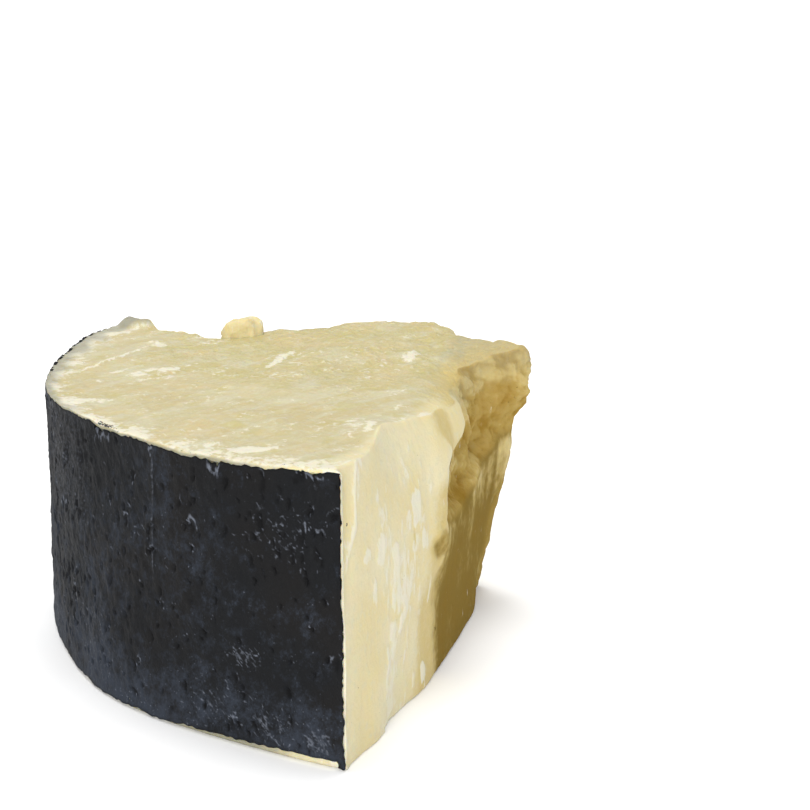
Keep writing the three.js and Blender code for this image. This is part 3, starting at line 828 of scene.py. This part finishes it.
def build_coating(material):
    """The coating: a thin shell over the wheel's wall. Its four edges are torn by hills and chips,
    and its face is pitted, scuffed and cockled."""
    u = np.linspace(0, 1, COAT_COLUMNS + 1)[None, :]
    v = np.linspace(0, 1, COAT_ROWS + 1)[:, None]
    even = mix(RIND_LEFT, RIND_RIGHT, u) + 0 * v
    arc = np.radians(even) * WHEEL_RADIUS
    degree = 180 / np.pi / WHEEL_RADIUS

    # The torn edges. At the rind's left end the coating stands a little proud of the paste, and at
    # the right end of its foot a shred hangs down.
    x, y = rind_point(even[:1], SLAB_HEIGHT)
    brim = top_height(x, y) + top_detail(x, y)[0] - rim_drop(even[:1])
    leftward = step(-20, -60, arc[:1])
    nicks = hills(arc[:1] / 0.8, 0, 0, 111) + 0.7 * hills(arc[:1] / 3.4, 0, 0, 112)
    nicks = nicks * mix(0.24, 0.30, leftward)
    sunk = 0.22 - 0.30 * leftward
    chips = 0.0
    for at, wide, deep in CHIPS:
        chips = chips + deep * hump(at, wide, arc[:1])
    upper = brim - sunk - nicks - chips
    lower = mix(0.3, 1.0, step(-50, 20, arc[:1])) + 1.3 * step(55, 100, arc[:1])
    lower = lower + 0.25 * hills(arc[:1] / 1.5, 5, 0, 113) + 0.4 * hills(arc[:1] / 6, 5, 0, 114)
    shred = hump(-0.9, 1.1, arc[:1] - arc[0, -1])
    lower = np.clip(lower, 0.12, 9) * (1 - 0.9 * shred)
    z = mix(lower, upper, v)
    right_nick = 0.1 + 0.3 * hills(z / 0.9, 0, 0, 115) + 0.25 * hills(z / 4, 0, 0, 116)
    right_nick = np.clip(right_nick, -0.25, 3) - 0.9 * step(4.5, 1.0, z)
    left_nick = np.clip(0.4 + 0.4 * hills(z / 1.6, 9, 0, 117), 0.02, 3)
    angle = even + degree * (left_nick * step(0.03, 0, u) - right_nick * step(0.97, 1, u))
    arc = np.radians(angle) * WHEEL_RADIUS

    # Relief of the outer face.
    depth, dust, pit_shade = coat_pits(arc, z)
    cockle = 0.34 * hills(arc / 16, z / 11, 0, 121) + 0.2 * hills(arc / 4.2, z / 5.5, 0, 122)
    cockle = cockle + 0.2 * hills(arc / 1.9, z / 2.6, 0, 123) + 0.12 * hills(arc / 0.9, z / 1.1, 0, 124)
    seam_at = 55.5 + 0.8 * hills(z / 14, 3, 0, 125)
    seam = 0.15 * hump(0, 0.8, arc - seam_at) * step(30, 44, z) * step(77, 70, z)
    dust = np.maximum(np.maximum(dust, 3 * seam), coat_scuffs(arc, z))
    dust = np.maximum(dust, 0.3 * step(48, 8, arc) * step(-44, -14, arc) * step(26, 50, z))
    frayed = step(-0.1, 0.5, hills(arc / 0.8, z / 1.2, 0, 127)) * step(5, 1, upper - z)
    for at, wide, _ in CHIPS:
        dust = np.maximum(dust, 0.9 * frayed * hump(at, 1.8 * wide + 1, arc))
    low_bloom = 0.15 * step(60, 30, z) + 0.5 * step(26, 6, z) - 0.2 * step(60, 95, arc) * step(66, 30, z)
    high_bloom = 0.32 * step(-2, -30, arc) * step(36, 58, z) - 0.3 * hump(12, 30, arc) * step(45, 65, z)
    # The coating's left end is greyed as a painted sheen of its grazing side; the rest of the bloom lies by
    # height and round the rind.
    bloom_and_sheen = low_bloom + high_bloom + 0.4 * step(-62, -105, arc) + 0.3 * hills(arc / 26, z / 18, 0, 126)
    to_edge = np.minimum(np.minimum(z - lower, upper - z), np.minimum(arc - arc[:, :1], arc[:, -1:] - arc))
    height = (cockle + seam - depth) * step(-0.5, 2.2, to_edge)
    outer = np.stack([*rind_point(angle, z, -np.maximum(height, COAT_THINNEST - COAT)), z], -1)
    held = mix(RIND_LEFT + 1.4 * degree, RIND_RIGHT - 1.4 * degree, u[0])
    back = [np.stack([*rind_point(held, z[row], COAT + 0.05), z[row]], -1) for row in (0, -1)]

    # The outer grid, the inner face as one tall quad to a column, and the four edges.
    index = np.arange(outer.shape[0] * outer.shape[1]).reshape(outer.shape[:2])
    low = index.size + np.arange(COAT_COLUMNS + 1)
    high = low + COAT_COLUMNS + 1
    points = np.vstack([outer.reshape(-1, 3), *back])
    faces = grid_faces(index[:, ::-1]).tolist()
    faces += grid_faces(np.stack([low, high])).tolist()
    faces += grid_faces(np.stack([index[0], low])).tolist()
    faces += grid_faces(np.stack([high, index[-1]])).tolist()
    faces.append(index[:, 0].tolist() + [high[0], low[0]])
    faces.append(index[::-1, -1].tolist() + [low[-1], high[-1]])
    looks = {"dust": dust, "pit_shade": pit_shade, "bloom_and_sheen": bloom_and_sheen, "edge": 1 - step(0.1, 0.9, to_edge)}
    inner = np.zeros(2 * (COAT_COLUMNS + 1))
    looks = {key: np.concatenate([values.ravel(), inner]) for key, values in looks.items()}
    return make_mesh("rind_coating", points, faces, looks, material)


def build_crumb(material):
    """A blocky crumb of paste left on the back edge: a ball grid drawn out to its half sizes, squared
    off by taking each sine and cosine to a power, moved by hills, wider at its foot and tilted."""
    turns, rings = 96, 48
    around = np.linspace(0, 2 * np.pi, turns, endpoint=False)[None, :]
    up = np.linspace(-np.pi / 2, np.pi / 2, rings + 1)[1:-1, None]

    def squared(t):
        return np.sign(t) * np.abs(t) ** CRUMB_SQUARENESS

    x = squared(np.cos(up)) * squared(np.cos(around))
    y = squared(np.cos(up)) * squared(np.sin(around))
    z = squared(np.sin(up)) + 0 * around
    ball = np.stack([x.ravel(), y.ravel(), z.ravel()], -1)
    ball = np.vstack([ball, [[0, 0, -1], [0, 0, 1]]])
    grow = 1.03 + 0.14 * hills(*(ball * 1.3 + 4).T, 131) + 0.08 * hills(*(ball * 3.1).T, 132)
    points = ball * np.array(CRUMB_HALF) * grow[:, None]
    points[:, :2] *= 1 + 0.14 * step(0, -4, points[:, 2:])
    points[:, 2] += 0.9 * points[:, 0] / CRUMB_HALF[0] * (points[:, 2] > 0)
    c, s = np.cos(np.radians(CRUMB_TURN)), np.sin(np.radians(CRUMB_TURN))
    points[:, :2] = points[:, :2] @ np.array([[c, s], [-s, c]])
    points += (*CRUMB_AT, top_height(*CRUMB_AT)[0] - 0.2)
    ring = np.arange(turns * (rings - 1)).reshape(rings - 1, turns)
    wrapped = np.hstack([ring, ring[:, :1]])
    faces = grid_faces(wrapped[:, ::-1]).tolist()
    bottom, crown = len(points) - 2, len(points) - 1
    faces += [[bottom, b, a] for a, b in zip(wrapped[0, :-1].tolist(), wrapped[0, 1:].tolist())]
    faces += [[crown, a, b] for a, b in zip(wrapped[-1, :-1].tolist(), wrapped[-1, 1:].tolist())]
    blank = np.zeros(len(points))
    looks = dict.fromkeys(PASTE_LOOKS, blank)
    looks.update(torn=blank + 0.6, white=blank + 0.12, fresh=blank + 0.8)
    return make_mesh("edge_crumb", points, faces, looks, material)


# Materials.


def linear(hex_colour):
    """A colour in linear light from its sRGB hex value."""
    srgb = np.array([int(hex_colour[k : k + 2], 16) for k in (1, 3, 5)]) / 255
    return (*np.where(srgb <= 0.04045, srgb / 12.92, ((srgb + 0.055) / 1.055) ** 2.4), 1.0)


def per_mm(size):
    """A noise scale whose features are about this many millimetres across, on coordinates in metres."""
    return 1 / (size * MM)


def node(tree, kind, inputs=(), output=0, **settings):
    """Adds a shader node with its settings, sets or links its inputs, given by name or number, and
    gives back one of its outputs, if it has any."""
    made = tree.nodes.new("ShaderNode" + kind)
    for key, value in settings.items():
        setattr(made, key, value)
    for key, value in dict(inputs).items():
        if isinstance(value, bpy.types.NodeSocket):
            tree.links.new(value, made.inputs[key])
        else:
            made.inputs[key].default_value = value
    return made.outputs[output] if made.outputs else None


def start_material(name):
    """A new node material, its empty tree and its Object coordinates."""
    material = bpy.data.materials.new(name)
    material.use_nodes = True
    material.node_tree.nodes.clear()
    return material, material.node_tree, node(material.node_tree, "TexCoord", output="Object")


def paste_material():
    """Aged sheep's milk curd, pressed and sawn: ivory, dense and waxy, with light passing a few
    millimetres into it. Where the blade smeared or lifted it, it dries chalk white in ragged patches.
    Where it broke it is yellower. Shade is painted into it in peach and golden colours, darkest in creases
    and dents, and the coating's grey smudge also serves as painted shade. Its curd shows as a mottle of
    about 2 mm, its grain as one of 1 mm, drawn coarser than the real half millimetre."""
    material, tree, place = start_material("pressed_cheese_paste")
    looks = [node(tree, "Attribute", output="Fac", attribute_name=look) for look in PASTE_LOOKS]
    white, torn, gold_and_shade, fresh, rim, smudge_and_shade = looks
    by_saw = {"Vector": place, "Rotation": (0, 0, np.radians(28)), "Scale": (1, 6, 1)}
    sawn = node(tree, "Mapping", by_saw, vector_type="TEXTURE")
    upright = node(tree, "Mapping", {"Vector": place, "Scale": (1, 1, 2.5)}, vector_type="TEXTURE")

    # Noises: what they lie on, how many mm they are across, their detail and their roughness.
    noises = (
        (place, 26, 3, 0.5),
        (sawn, 5, 4, 0.5),
        (place, 11, 3, 0.5),
        (place, 17, 3, 0.5),
        (place, 2.4, 4, 0.5),
        (upright, 1.8, 5, 0.62),
        (place, 0.9, 3, 0.5),
        (place, 0.75, 2, 0.5),
        (place, 9, 2, 0.5),
    )
    cloud, streak, patch, blush, curd, chalk, grain, speck, strewn = [
        node(tree, "TexNoise", {"Vector": on, "Scale": per_mm(size), "Detail": detail, "Roughness": rough})
        for on, size, detail, rough in noises
    ]

    # The clean cut's paste, warmer in clouds, and the painted shade, golden where it is torn.
    span = {"Value": cloud, "From Min": 0.35, "From Max": 0.65}
    warmed = node(tree, "MapRange", span, interpolation_type="SMOOTHSTEP")
    cut = {0: warmed, 6: linear(PASTE_CUT_WARM), 7: linear(PASTE_CUT)}
    cut_paste = node(tree, "Mix", cut, 2, data_type="RGBA")
    opened = node(tree, "MapRange", {"Value": torn}, interpolation_type="SMOOTHSTEP")
    painted_shade = {0: opened, 6: linear(PASTE_SHADE), 7: linear(PASTE_GOLDEN_SHADE)}
    painted_shade_paste = node(tree, "Mix", painted_shade, 2, data_type="RGBA")

    # Layers of colour, each over those before it: the colour, what it follows, the values of that
    # at which it begins and is full, and how much it covers then. Sums are a value times a number, plus
    # another value.
    sums = (
        (torn, 0.16, patch),
        (curd, -0.35, gold_and_shade),
        (chalk, 1.6, white),
        (chalk, 0.5, smudge_and_shade),
        (rim, 0.085, speck),
    )
    yellowed, mottled, ragged, greyed, by_rim = [
        node(tree, "Math", {0: value, 1: times, 2: plus}, operation="MULTIPLY_ADD")
        for value, times, plus in sums
    ]
    scattered = node(tree, "Math", {0: strewn, 1: 0.35, 2: by_rim}, operation="MULTIPLY_ADD")
    layers = (
        (linear(PASTE), cloud, 0.35, 0.65, 1.0),
        (linear(PASTE_PALE), streak, 0.44, 0.62, 0.42),
        (linear(PASTE_YELLOW), yellowed, 0.52, 0.70, 0.75),
        (linear(PASTE_WARM), blush, 0.50, 0.62, 0.5),
        (cut_paste, fresh, 0.0, 1.0, 1.0),
        (linear(PASTE_PALE), curd, 0.50, 0.70, 0.45),
        # The peach, golden and darkest layers are painted shade, the peach also a light tint of the split
        # side.
        (linear(PASTE_PEACH_AND_HALF_SHADE), mottled, -0.1, 0.38, 1.0),
        (painted_shade_paste, mottled, 0.35, 0.85, 1.0),
        (linear(PASTE_DEEP_SHADE), gold_and_shade, 1.0, 1.6, 0.7),
        (linear(PASTE_WHITE), ragged, 1.04, 1.34, 0.95),
        # The coating's grey smudge, which also serves as painted shade.
        (linear(PASTE_SMUDGE_AND_SHADE), greyed, 0.35, 1.25, 0.85),
        (linear(COAT_BROWN), scattered, 0.965, 0.985, 1.0),
    )
    colour = linear(PASTE_DEEP)
    for over, value, low, high, most in layers:
        span = {"Value": value, "From Min": low, "From Max": high, "To Max": most}
        share = node(tree, "MapRange", span, interpolation_type="SMOOTHSTEP")
        colour = node(tree, "Mix", {0: share, 6: colour, 7: over}, 2, data_type="RGBA")

    bumpy = node(tree, "MapRange", {"Value": torn, "To Min": 0.10, "To Max": 0.40})
    grained = node(tree, "Math", {0: grain, 1: bumpy}, operation="MULTIPLY")
    broken = node(tree, "MapRange", {"Value": torn, "To Min": 0.25, "To Max": 1.1})
    curded = node(tree, "Math", {0: curd, 1: broken, 2: grained}, operation="MULTIPLY_ADD")
    height = node(tree, "Math", {0: ragged, 1: 0.12, 2: curded}, operation="MULTIPLY_ADD")
    sheen = {"Value": grain, "From Min": 0.3, "From Max": 0.7, "To Min": 0.42, "To Max": 0.58}
    sheen = node(tree, "MapRange", sheen)
    wax = {"Value": gold_and_shade, "From Max": 0.8, "To Min": 0.36, "To Max": 0.0}
    shader = node(tree, "BsdfPrincipled", {
        "Base Color": colour,
        "Specular IOR Level": node(tree, "MapRange", wax),
        "Roughness": node(tree, "Math", {0: white, 1: 0.2, 2: sheen}, operation="MULTIPLY_ADD"),
        "Normal": node(tree, "Bump", {"Height": height, "Distance": 0.9 * MM, "Strength": 0.8}),
        "IOR": 1.44,
        "Subsurface Weight": 0.65,
        "Subsurface Radius": (1.0, 0.62, 0.26),
        "Subsurface Scale": 0.9 * MM,
    })
    node(tree, "OutputMaterial", {"Surface": shader})
    return material


def coating_material():
    """A charcoal-tinted dressing rubbed and painted on the rind: nearly black, matt with a slight sheen, in
    parts brownish and in parts bluish, bloomed grey in fine scratchy patches and greyer at its left end as a
    painted sheen, painted black as shade in its pits and darker at its own edges, and dusty on the pits'
    rims and where it was rubbed. Its grit is about half a millimetre."""
    material, tree, place = start_material("painted_rind_coating")
    looks = [node(tree, "Attribute", output="Fac", attribute_name=look) for look in COAT_LOOKS]
    dust, pit_shade, bloom_and_sheen, edge = looks
    upright = node(tree, "Mapping", {"Vector": place, "Scale": (1, 1, 1.7)}, vector_type="TEXTURE")

    # Noises, as in the paste.
    noises = (
        (place, 30, 2, 0.5),
        (place, 6, 8, 0.84),
        (upright, 1.3, 4, 0.65),
        (place, 0.9, 3, 0.6),
        (place, 0.55, 3, 0.5),
    )
    tint, patch, rubbing, speck, grit = [
        node(tree, "TexNoise", {"Vector": on, "Scale": per_mm(size), "Detail": detail, "Roughness": rough})
        for on, size, detail, rough in noises
    ]

    # Layers of colour, as in the paste.
    bloom_and_sheen_patches = node(tree, "Math", {0: bloom_and_sheen, 1: 0.28, 2: patch}, operation="MULTIPLY_ADD")
    scratched = node(tree, "Math", {0: bloom_and_sheen_patches, 1: 0.5, 2: rubbing}, operation="MULTIPLY_ADD")
    dusted = node(tree, "Math", {0: speck, 1: 0.7, 2: dust}, operation="MULTIPLY_ADD")
    sprinkled = node(tree, "Math", {0: bloom_and_sheen_patches, 1: 0.3, 2: speck}, operation="MULTIPLY_ADD")
    layers = (
        (COAT_BLACK, tint, 0.38, 0.60, 1.0),
        (COAT_BLOOM_AND_SHEEN, bloom_and_sheen_patches, 0.50, 0.80, 0.95),
        (COAT_BLOOM_AND_SHEEN, scratched, 0.84, 1.02, 0.5),
        # Painted shade in the pits; the same black also darkens the coating's own edges.
        (COAT_SHADE_BLACK, pit_shade, 0.0, 1.0, 0.92),
        (COAT_DUST, dusted, 0.56, 1.2, 0.85),
        (COAT_DUST, sprinkled, 0.84, 0.93, 0.6),
        (COAT_SHADE_BLACK, edge, 0.0, 1.0, 0.4),
    )
    colour = linear(COAT_BROWN)
    for over, value, low, high, most in layers:
        span = {"Value": value, "From Min": low, "From Max": high, "To Max": most}
        share = node(tree, "MapRange", span, interpolation_type="SMOOTHSTEP")
        colour = node(tree, "Mix", {0: share, 6: colour, 7: linear(over)}, 2, data_type="RGBA")

    specked = node(tree, "Math", {0: speck, 1: 0.35}, operation="MULTIPLY")
    gritty = node(tree, "Math", {0: grit, 1: 0.2, 2: specked}, operation="MULTIPLY_ADD")
    height = node(tree, "Math", {0: rubbing, 1: 0.2, 2: gritty}, operation="MULTIPLY_ADD")
    sheen = {"Value": patch, "From Min": 0.35, "From Max": 0.65, "To Min": 0.58, "To Max": 0.76}
    shader = node(tree, "BsdfPrincipled", {
        "Base Color": colour,
        "Roughness": node(tree, "MapRange", sheen),
        "Normal": node(tree, "Bump", {"Height": height, "Distance": 0.7 * MM, "Strength": 0.8}),
        "IOR": 1.48,
        "Specular IOR Level": 0.13,
    })
    node(tree, "OutputMaterial", {"Surface": shader})
    return material


def floor_material():
    """Smooth matt white card: a soft even white, with a mottle too faint to see as a pattern."""
    material, tree, place = start_material("matt_white_card")
    mottle = node(tree, "TexNoise", {"Vector": place, "Scale": per_mm(60), "Detail": 2})
    span = {"Value": mottle, "From Min": 0.3, "From Max": 0.7}
    share = node(tree, "MapRange", span, interpolation_type="SMOOTHSTEP")
    blend = {0: share, 6: linear(CARD_DULL), 7: linear(CARD_WHITE)}
    colour = node(tree, "Mix", blend, 2, data_type="RGBA")
    surface = {"Base Color": colour, "Roughness": 0.9, "Specular IOR Level": 0.1}
    node(tree, "OutputMaterial", {"Surface": node(tree, "BsdfPrincipled", surface)})
    return material


# The room: floor, lights and camera.


def build_floor():
    """A flat sweep of card as one quad, wide enough to pass out of every view."""
    mesh = bpy.data.meshes.new("floor")
    far = 40.0
    mesh.from_pydata([(-far, -far, 0), (far, -far, 0), (far, far, 0), (-far, far, 0)], [], [(0, 1, 2, 3)])
    mesh.materials.append(floor_material())
    piece = bpy.data.objects.new("floor", mesh)
    bpy.context.scene.collection.objects.link(piece)


def far_light(name, azimuth, elevation, strength, spread):
    """Even light from far off: strength is what it adds to white card that faces it, spread how wide
    its disc looks in degrees. Azimuth is measured from the camera's side, positive to its right."""
    turn, lift = np.radians(CAMERA_TURN + azimuth), np.radians(elevation)
    away = Vector((np.sin(turn) * np.cos(lift), -np.cos(turn) * np.cos(lift), np.sin(lift)))
    lamp = bpy.data.lights.new(name, "SUN")
    lamp.energy = strength * np.pi
    lamp.angle = np.radians(spread)
    light = bpy.data.objects.new(name, lamp)
    light.location = away
    light.rotation_euler = away.to_track_quat("Z", "Y").to_euler()
    bpy.context.scene.collection.objects.link(light)


def build_world(strength):
    """Even white light from all round."""
    world = bpy.data.worlds.new("white_room")
    world.use_nodes = True
    world.node_tree.nodes["Background"].inputs[0].default_value = (1, 1, 1, 1)
    world.node_tree.nodes["Background"].inputs[1].default_value = strength
    bpy.context.scene.world = world


def build_camera():
    """The photograph's camera: beside the wheel's axis and turned about it, pitched down and rolled."""
    turn = np.radians(CAMERA_TURN)
    right = Vector((np.cos(turn), np.sin(turn), 0))
    level = Vector((-np.sin(turn), np.cos(turn), 0))
    across, back, up = CAMERA_PLACE
    place = (Vector(AXIS) + right * across + level * back + Vector((0, 0, up))) * MM
    forward = level * np.cos(CAMERA_PITCH) - Vector((0, 0, np.sin(CAMERA_PITCH)))
    upward = right.cross(forward)
    side = right * np.cos(CAMERA_ROLL) + upward * np.sin(CAMERA_ROLL)
    crown = upward * np.cos(CAMERA_ROLL) - right * np.sin(CAMERA_ROLL)
    lens = bpy.data.cameras.new("camera")
    lens.sensor_width = 36
    lens.lens = lens.sensor_width * CAMERA_FOCUS
    lens.clip_start = 0.05
    camera = bpy.data.objects.new("camera", lens)
    camera.matrix_world = Matrix.Translation(place) @ Matrix((side, crown, -forward)).transposed().to_4x4()
    bpy.context.scene.collection.objects.link(camera)
    bpy.context.scene.camera = camera


# Where the wheel's axis stands in the frame: the solid's right edge is the rind's right foot, and its
# front edge the rind's foremost point.
front_y = rind_point(np.linspace(-20, 20, 401), np.linspace(0, SLAB_HEIGHT, 41)[:, None])[1].min()
AXIS = np.array([cheese_high.x / MM - rind_point(RIND_RIGHT, 0.0)[0], cheese_low.y / MM - front_y, 0.0])

paste_finish = paste_material()
paste = build_paste(paste_finish)
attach(paste, "root")
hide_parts("cheese")

crumb = build_crumb(paste_finish)
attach(crumb, "root")

coating = build_coating(coating_material())
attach(coating, "root")

build_floor()
build_camera()
build_world(ROOM_LIGHT)
for lamp in LAMPS:
    far_light(*lamp)
bpy.context.scene.view_settings.view_transform = "Standard"
